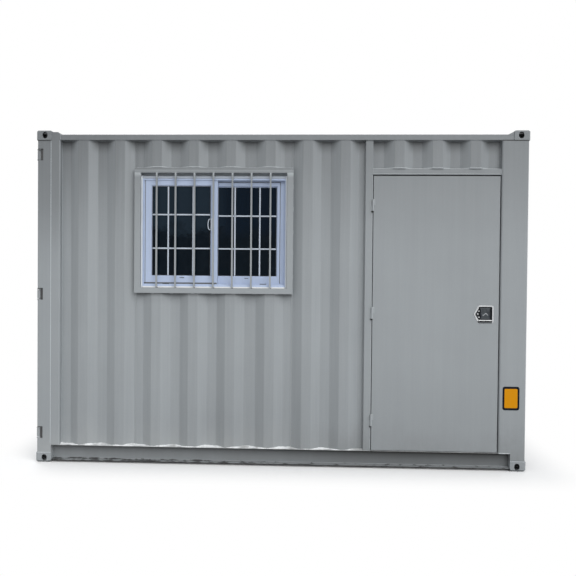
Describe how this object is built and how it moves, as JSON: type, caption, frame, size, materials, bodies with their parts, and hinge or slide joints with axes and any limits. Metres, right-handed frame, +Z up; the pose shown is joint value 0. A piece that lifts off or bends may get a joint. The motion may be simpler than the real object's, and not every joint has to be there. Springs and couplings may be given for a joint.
{
  "type": "shipping container cabin",
  "caption": "Small corrugated steel container cabin with corner castings, a barred sliding window, a flush entrance door on hinges and closed cargo doors at one end.",
  "frame": {"origin": "middle of the footprint, on the ground under the corner castings", "axes": "+X along the long front wall towards the entrance door, +Y from the front wall to the back wall, +Z up"},
  "size_m": [3.658, 2.2, 2.5],
  "materials": {
    "cabin_paint": "satin cool grey container paint with light dirt and wear",
    "galvanised_steel": "dull galvanised",
    "floor_plywood": "sealed hardwood plywood, scuffed",
    "lining_board": "white-faced board, satin",
    "window_plastic": "white window plastic",
    "window_glass": "clear window glass, dark room behind",
    "seal_rubber": "black door seal",
    "latch_metal": "zinc-plated, bright rim",
    "latch_paddle_metal": "dark satin"
  },
  "bodies": {
    "cabin": {"back_lining": "lining_board", "back_wall": "cabin_paint", "bottom_corner_castings": "cabin_paint", "bottom_side_rails": "cabin_paint", "cargo_door_back_leaf": "cabin_paint", "cargo_door_front_leaf": "cabin_paint", "cargo_door_gaskets": "seal_rubber", "cargo_door_handle_catches": "galvanised_steel", "cargo_door_handles": "galvanised_steel", "cargo_door_header": "cabin_paint", "cargo_door_hinges": "cabin_paint", "cargo_door_keepers": "galvanised_steel", "cargo_door_lock_rods": "galvanised_steel", "cargo_door_rod_guides": "galvanised_steel", "cargo_door_sill": "cabin_paint", "ceiling_lining": "lining_board", "closed_end_posts": "cabin_paint", "door_end_posts": "cabin_paint", "end_bottom_rail": "cabin_paint", "end_lining": "lining_board", "end_top_rail": "cabin_paint", "end_wall": "cabin_paint", "entrance_door_seal": "seal_rubber", "entrance_door_stop": "cabin_paint", "entrance_head": "cabin_paint", "entrance_hinge_frame_halves": "cabin_paint", "entrance_jamb": "cabin_paint", "floor_boards": "floor_plywood", "floor_cross_members": "cabin_paint", "front_lining": "lining_board", "front_wall_left": "cabin_paint", "front_wall_over_door": "cabin_paint", "front_wall_over_window": "cabin_paint", "front_wall_right": "cabin_paint", "front_wall_under_window": "cabin_paint", "roof_panel": "cabin_paint", "top_corner_castings": "cabin_paint", "top_corner_gussets": "cabin_paint", "top_side_rails": "cabin_paint", "window_guard_bars": "cabin_paint", "window_guard_frame": "cabin_paint", "window_left_sash": "window_plastic", "window_outer_frame": "window_plastic", "window_panes": "window_glass", "window_right_sash": "window_plastic", "window_subframe": "cabin_paint"},
    "entrance_door": {"entrance_door_leaf": "cabin_paint", "entrance_door_inner_panel": "cabin_paint", "entrance_hinge_door_halves": "cabin_paint", "latch_dish": "latch_metal", "latch_inner_cover": "latch_paddle_metal"},
    "latch_paddle_body": {"latch_paddle": "latch_paddle_metal"}
  },
  "joints": [
    {"name": "entrance_door_hinge", "type": "hinge", "parent": "cabin", "child": "entrance_door", "pos_m": [0.6935, -1.093, 1.16], "axis": [0, 0, -1], "range_deg": [0, 160]},
    {"name": "latch_paddle_hinge", "type": "hinge", "parent": "entrance_door", "child": "latch_paddle_body", "pos_m": [1.521, -1.081, 1.197], "axis": [-1, 0, 0], "range_deg": [0, 35], "stiffness_Nm_per_rad": 0.4, "springref_deg": -17.19}
  ]
}
